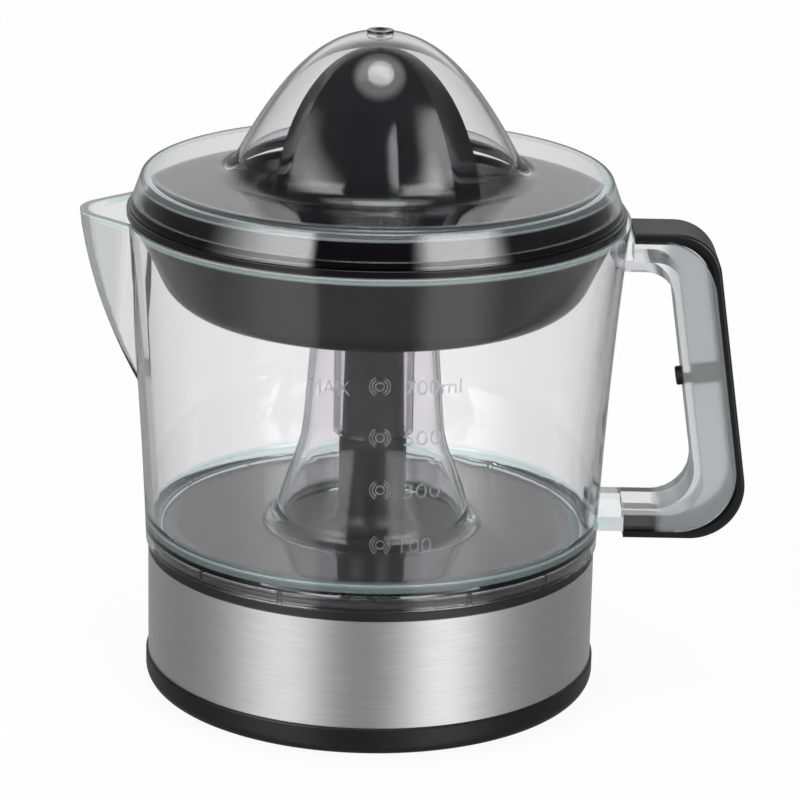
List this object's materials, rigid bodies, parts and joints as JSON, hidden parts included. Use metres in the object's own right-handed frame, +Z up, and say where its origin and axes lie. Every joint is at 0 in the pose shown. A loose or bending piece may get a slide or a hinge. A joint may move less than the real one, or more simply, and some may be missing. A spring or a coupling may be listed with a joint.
{
  "type": "citrus press juicer",
  "caption": "Round electric citrus press with a steel-banded base, clear jug with spout and handle, dark strainer and ribbed reamer, and a clear domed cover.",
  "frame": {"origin": "on the drive axis, at the surface the feet stand on", "axes": "+Z up along the drive axis, -X towards the spout, +X towards the handle, -Y to the front"},
  "size_m": [0.2008, 0.151, 0.2038],
  "materials": {
    "black_plastic": "moulded, satin black",
    "dark_plastic": "moulded, glossy charcoal",
    "clear_plastic": "clear, polished, faint green edge tint",
    "steel_sheet": "brushed round the band",
    "steel": "turned",
    "zinc_plate": "zinc plated",
    "lamination": "stacked steel sheet, varnished",
    "copper": "enamelled wire, wound",
    "bobbin_plastic": "moulded, natural",
    "bronze": "sintered",
    "ferrite": "ground",
    "gear_plastic": "moulded, white",
    "switch_plastic": "moulded",
    "button_plastic": "moulded, red",
    "rubber": "moulded"
  },
  "bodies": {
    "base": {"base_pan": "black_plastic", "rubber_feet": "rubber", "housing_screws": "zinc_plate", "cord_gland": "rubber", "steel_band": "steel_sheet", "top_deck": "black_plastic", "gear_plate": "zinc_plate", "plate_screws": "zinc_plate", "stator_core": "lamination", "coil_bobbin": "bobbin_plastic", "coil_winding": "copper", "bearing_bridge": "zinc_plate", "core_screws": "zinc_plate", "core_spacers": "zinc_plate", "rotor_bushes": "bronze", "idler_axle": "steel", "spindle_bush_upper": "bronze", "spindle_bush_lower": "bronze", "switch_body": "switch_plastic"},
    "rotor": {"rotor_magnet": "ferrite", "rotor_shaft": "steel", "motor_pinion": "gear_plastic"},
    "idler": {"idler_gear": "gear_plastic"},
    "carriage": {"thrust_cap": "black_plastic", "return_spring": "steel"},
    "spindle": {"drive_spindle": "steel", "output_gear": "gear_plastic", "spindle_clip": "steel"},
    "lever": {"switch_lever": "steel"},
    "button": {"switch_button": "button_plastic"},
    "jug": {"jug_body": "clear_plastic", "handle_grip": "black_plastic", "grip_screw": "zinc_plate"},
    "strainer": {"strainer_bowl": "dark_plastic"},
    "bush": {"stem_bush": "dark_plastic"},
    "reamer": {"reamer_cone": "dark_plastic"},
    "cover": {"dust_cover": "clear_plastic"}
  },
  "joints": [
    {"name": "jug_lift", "type": "slide", "parent": "base", "child": "jug", "axis": [0, 0, 1], "range_m": [0, 0.1]},
    {"name": "strainer_lift", "type": "slide", "parent": "jug", "child": "strainer", "axis": [0, 0, 1], "range_m": [0, 0.06]},
    {"name": "cover_lift", "type": "slide", "parent": "strainer", "child": "cover", "axis": [0, 0, 1], "range_m": [0, 0.06]},
    {"name": "spindle_press", "type": "slide", "parent": "base", "child": "carriage", "axis": [0, 0, -1], "range_m": [0, 0.0025], "stiffness_N_per_m": 1500, "springref_m": -0.006, "deforming": ["return_spring"]},
    {"name": "spindle_spin", "type": "hinge", "parent": "carriage", "child": "spindle", "pos_m": [0, 0, 0.0189], "axis": [0, 0, 1], "continuous": true},
    {"name": "idler_spin", "type": "hinge", "parent": "base", "child": "idler", "pos_m": [-0.02472, 0.01952, 0.04], "axis": [0, 0, 1], "continuous": true},
    {"name": "rotor_spin", "type": "hinge", "parent": "base", "child": "rotor", "pos_m": [-0.03399, 0.00001, 0.02], "axis": [0, 0, 1], "continuous": true},
    {"name": "lever_turn", "type": "hinge", "parent": "base", "child": "lever", "pos_m": [0.032, 0, 0.0143], "axis": [0, -1, 0], "range_deg": [0, 6]},
    {"name": "button_travel", "type": "slide", "parent": "base", "child": "button", "axis": [0, 0, -1], "range_m": [0, 0.0006]},
    {"name": "bush_slide", "type": "slide", "parent": "strainer", "child": "bush", "axis": [0, 0, -1], "range_m": [0, 0.0025]},
    {"name": "reamer_spin", "type": "hinge", "parent": "bush", "child": "reamer", "pos_m": [0, 0, 0.137], "axis": [0, 0, 1], "continuous": true}
  ],
  "couplings": [
    {"joint": "idler_spin", "follows": "rotor_spin", "ratio": -0.2},
    {"joint": "spindle_spin", "follows": "rotor_spin", "ratio": 0.033333},
    {"joint": "reamer_spin", "follows": "rotor_spin", "ratio": 0.033333},
    {"joint": "bush_slide", "follows": "spindle_press", "ratio": 1},
    {"joint": "lever_turn", "follows": "spindle_press", "rad_per_m": 39.967},
    {"joint": "button_travel", "follows": "spindle_press", "ratio": 0.22}
  ]
}
